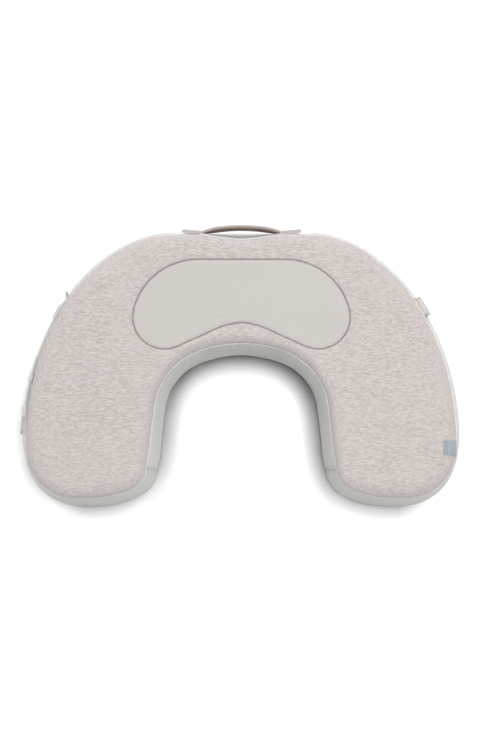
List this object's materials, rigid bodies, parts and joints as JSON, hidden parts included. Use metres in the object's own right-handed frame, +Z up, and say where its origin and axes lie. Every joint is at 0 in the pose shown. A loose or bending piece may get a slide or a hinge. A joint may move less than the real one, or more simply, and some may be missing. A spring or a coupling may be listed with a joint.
{
  "type": "nursing pillow",
  "caption": "U-shaped foam nursing pillow in a heathered cover with a bean-shaped top panel, carry handle, zip and buckled waist strap.",
  "frame": {"origin": "on the underside, on the symmetry plane, in the middle of the back band", "axes": "+Z up, +X to the pillow's right side, +Y to its back where the handle is; the legs of the U point to -Y"},
  "size_m": [0.6431, 0.4063, 0.1212],
  "materials": {
    "jersey_knit": "heathered knit with a short streaked grain",
    "smooth_panel": "fine smooth weave",
    "grey_fabric": "plain grey weave",
    "piping": "pale cord",
    "dark_cord": "thin dark cord",
    "base_fabric": "plain weave",
    "liner_fabric": "thin smooth liner",
    "firm_foam": "firm polyurethane foam",
    "soft_foam": "soft polyurethane foam",
    "webbing": "woven webbing",
    "dark_lining": "dark twill tape",
    "zip_tape": "woven zip tape",
    "zip_metal": "satin plated",
    "grey_plastic": "moulded, satin",
    "label_fabric": "woven tape, blank"
  },
  "bodies": {
    "pillow": {"top_panel": "jersey_knit", "bean_panel": "smooth_panel", "bean_piping": "dark_cord", "top_piping": "piping", "outer_wall_panel": "grey_fabric", "inner_wall_panel": "grey_fabric", "bottom_panel": "base_fabric", "foam_liner": "liner_fabric", "base_foam": "firm_foam", "comfort_foam": "soft_foam", "zip_tape_upper": "zip_tape", "zip_tape_lower": "zip_tape", "zip_teeth_upper": "zip_metal", "zip_teeth_lower": "zip_metal", "zip_stop_start": "zip_metal", "zip_stop_end": "zip_metal", "handle_tab_left": "webbing", "handle_tab_right": "webbing", "strap_tab_left": "webbing", "strap_tab_right": "webbing"},
    "handle": {"handle_grip": "webbing", "handle_grip_lining": "dark_lining"},
    "zip_slider": {"zip_slider": "zip_metal"},
    "zip_pull": {"zip_pull": "zip_metal"},
    "waist_strap": {"waist_strap": "webbing"},
    "strap_adjuster": {"strap_adjuster": "grey_plastic"},
    "strap_keeper": {"strap_keeper": "webbing"},
    "buckle_plug": {"buckle_plug": "grey_plastic"},
    "prong_upper": {"buckle_prong_upper": "grey_plastic"},
    "prong_lower": {"buckle_prong_lower": "grey_plastic"},
    "buckle_socket": {"buckle_socket": "grey_plastic"},
    "label": {"label_tag": "label_fabric"}
  },
  "joints": [
    {"name": "handle_swing", "type": "hinge", "parent": "pillow", "child": "handle", "pos_m": [0, 0.08294, 0.082], "axis": [1, 0, 0], "range_deg": [-14, 30]},
    {"name": "zip_slide", "type": "slide", "parent": "pillow", "child": "zip_slider", "axis": [-1, 0, 0], "range_m": [0, 0.162]},
    {"name": "zip_pull_flip", "type": "hinge", "parent": "zip_slider", "child": "zip_pull", "pos_m": [0.081, 0.08871, 0.03023], "axis": [1, 0, 0], "range_deg": [0, 175]},
    {"name": "strap_swing", "type": "hinge", "parent": "pillow", "child": "waist_strap", "pos_m": [-0.25547, -0.01669, 0.08], "axis": [-0.1016, 0.0671, -0.9926], "range_deg": [0, 95]},
    {"name": "adjuster_travel", "type": "hinge", "parent": "waist_strap", "child": "strap_adjuster", "pos_m": [0.05901, -0.21604, 0.08], "axis": [0, 0, 1], "range_deg": [0, 4.2]},
    {"name": "keeper_travel", "type": "hinge", "parent": "waist_strap", "child": "strap_keeper", "pos_m": [0.05901, -0.21604, 0.08], "axis": [0, 0, 1], "range_deg": [-3.2, 2.8]},
    {"name": "plug_pivot", "type": "hinge", "parent": "waist_strap", "child": "buckle_plug", "pos_m": [-0.31463, -0.17236, 0.08], "axis": [-0.1209, 0.0141, -0.9926], "range_deg": [-5, 60]},
    {"name": "prong_flex_upper", "type": "hinge", "parent": "buckle_plug", "child": "prong_upper", "pos_m": [-0.31498, -0.18581, 0.08993], "axis": [0.9858, -0.1153, -0.1217], "range_deg": [0, 7]},
    {"name": "prong_flex_lower", "type": "hinge", "parent": "buckle_plug", "child": "prong_lower", "pos_m": [-0.3174, -0.18553, 0.07007], "axis": [-0.9858, 0.1153, 0.1217], "range_deg": [0, 7]},
    {"name": "socket_swing", "type": "hinge", "parent": "pillow", "child": "buckle_socket", "pos_m": [0.26288, -0.0253, 0.08443], "axis": [0.5142, -0.8577, 0], "range_deg": [0, 90]},
    {"name": "label_flip", "type": "hinge", "parent": "pillow", "child": "label", "pos_m": [0.30969, -0.23075, 0.1072], "axis": [0.0399, 0.9992, 0], "range_deg": [0, 110]}
  ],
  "couplings": [
    {"joint": "prong_flex_lower", "follows": "prong_flex_upper", "ratio": 1}
  ]
}
